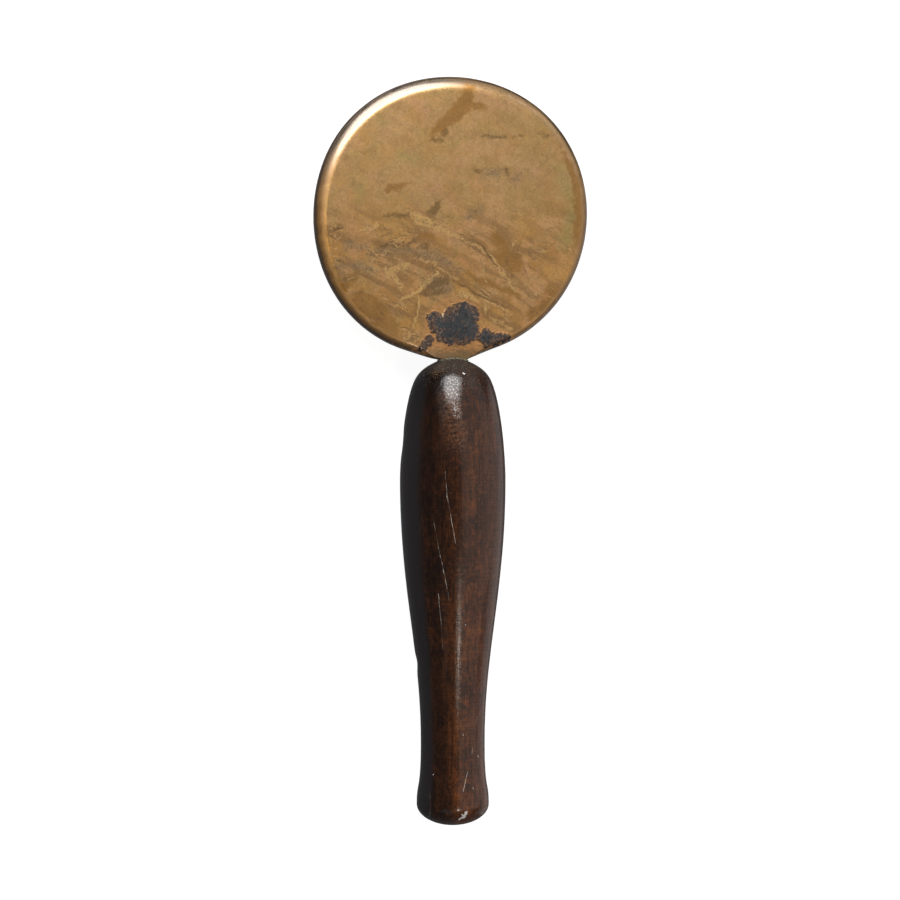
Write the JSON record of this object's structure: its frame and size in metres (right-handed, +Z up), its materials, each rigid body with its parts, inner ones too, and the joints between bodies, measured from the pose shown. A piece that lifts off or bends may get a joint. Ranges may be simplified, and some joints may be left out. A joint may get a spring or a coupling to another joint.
{
  "type": "bronze hand mirror",
  "caption": "Ancient round bronze hand mirror with a polished disc on a turned dark wooden handle.",
  "frame": {"origin": "on the table plane under the middle of the resting mirror's footprint", "axes": "+Y from the handle's foot towards the disc, +Z up from the table, the polished face looking up and a little towards +Y"},
  "size_m": [0.102, 0.271, 0.0465],
  "materials": {
    "bronze": "old polished bronze, matt golden brown with dark crust, pale tide lines and greenish stains",
    "dark_wood": "turned dark hardwood, worn glossy, with reddish patches and fine scratches"
  },
  "bodies": {
    "root": {"bronze_plate": "bronze", "wooden_handle": "dark_wood"}
  },
  "joints": []
}
